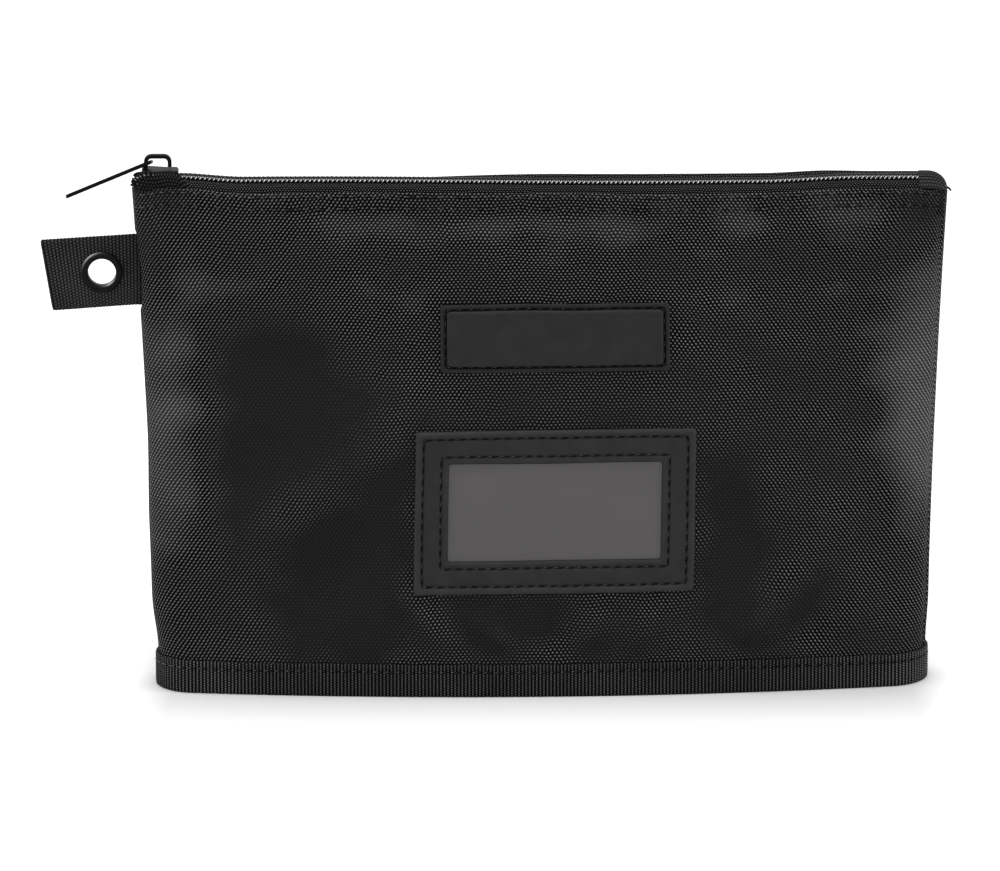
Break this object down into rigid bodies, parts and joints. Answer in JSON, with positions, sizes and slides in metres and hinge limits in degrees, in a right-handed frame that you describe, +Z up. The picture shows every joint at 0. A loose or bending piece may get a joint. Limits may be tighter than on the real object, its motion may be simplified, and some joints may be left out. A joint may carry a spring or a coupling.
{
  "type": "zippered tool bag",
  "caption": "Upright fabric tool bag with a coil zip and slider along its mouth, a bound boat-shaped base, a clear card window, a plain moulded patch and a webbing hang tab with an eyelet.",
  "frame": {"origin": "on the floor under the middle of the boat-shaped base", "axes": "+X along the mouth to the viewer's right, +Y to the back, +Z up; the card window faces -Y"},
  "size_m": [0.3526, 0.054, 0.2124],
  "materials": {
    "panel_fabric": "coarse black basket weave, slightly shiny threads",
    "binding_tape": "black ribbed binding tape",
    "zip_tape": "black fine woven zip tape",
    "zip_coil": "black glossy nylon filament",
    "black_enamel": "black enamel on die-cast and pressed metal",
    "clear_film": "hazy grey clear film",
    "frame_vinyl": "black imitation leather with a fine grain",
    "patch_rubber": "black soft moulded rubber, satin",
    "webbing": "black ribbed webbing"
  },
  "bodies": {
    "bag": {"front_panel": "panel_fabric", "back_panel": "panel_fabric", "base_panel": "panel_fabric", "base_binding": "binding_tape", "side_seam_left": "panel_fabric", "side_seam_right": "panel_fabric", "zip_tape_front": "zip_tape", "zip_tape_back": "zip_tape", "zip_coil_front": "zip_coil", "zip_coil_back": "zip_coil", "zip_end_cover": "binding_tape", "card_film": "clear_film", "card_frame": "frame_vinyl", "moulded_patch": "patch_rubber", "hang_tab_root": "webbing"},
    "slider": {"zip_slider": "black_enamel"},
    "pull": {"zip_pull": "black_enamel"},
    "tab": {"hang_tab": "webbing", "eyelet": "black_enamel", "eyelet_washer": "black_enamel"}
  },
  "joints": [
    {"name": "slider_slide", "type": "slide", "parent": "bag", "child": "slider", "axis": [1, 0, 0], "range_m": [0, 0.286], "deforming": ["zip_tape_front", "zip_tape_back", "zip_coil_front", "zip_coil_back"]},
    {"name": "pull_swing", "type": "hinge", "parent": "slider", "child": "pull", "pos_m": [-0.1528, 0, 0.20935], "axis": [0, 1, 0], "range_deg": [0, 155]},
    {"name": "tab_fold", "type": "hinge", "parent": "bag", "child": "tab", "pos_m": [-0.15909, 0, 0.1663], "axis": [0, 0, 1], "range_deg": [-85, 85]}
  ]
}
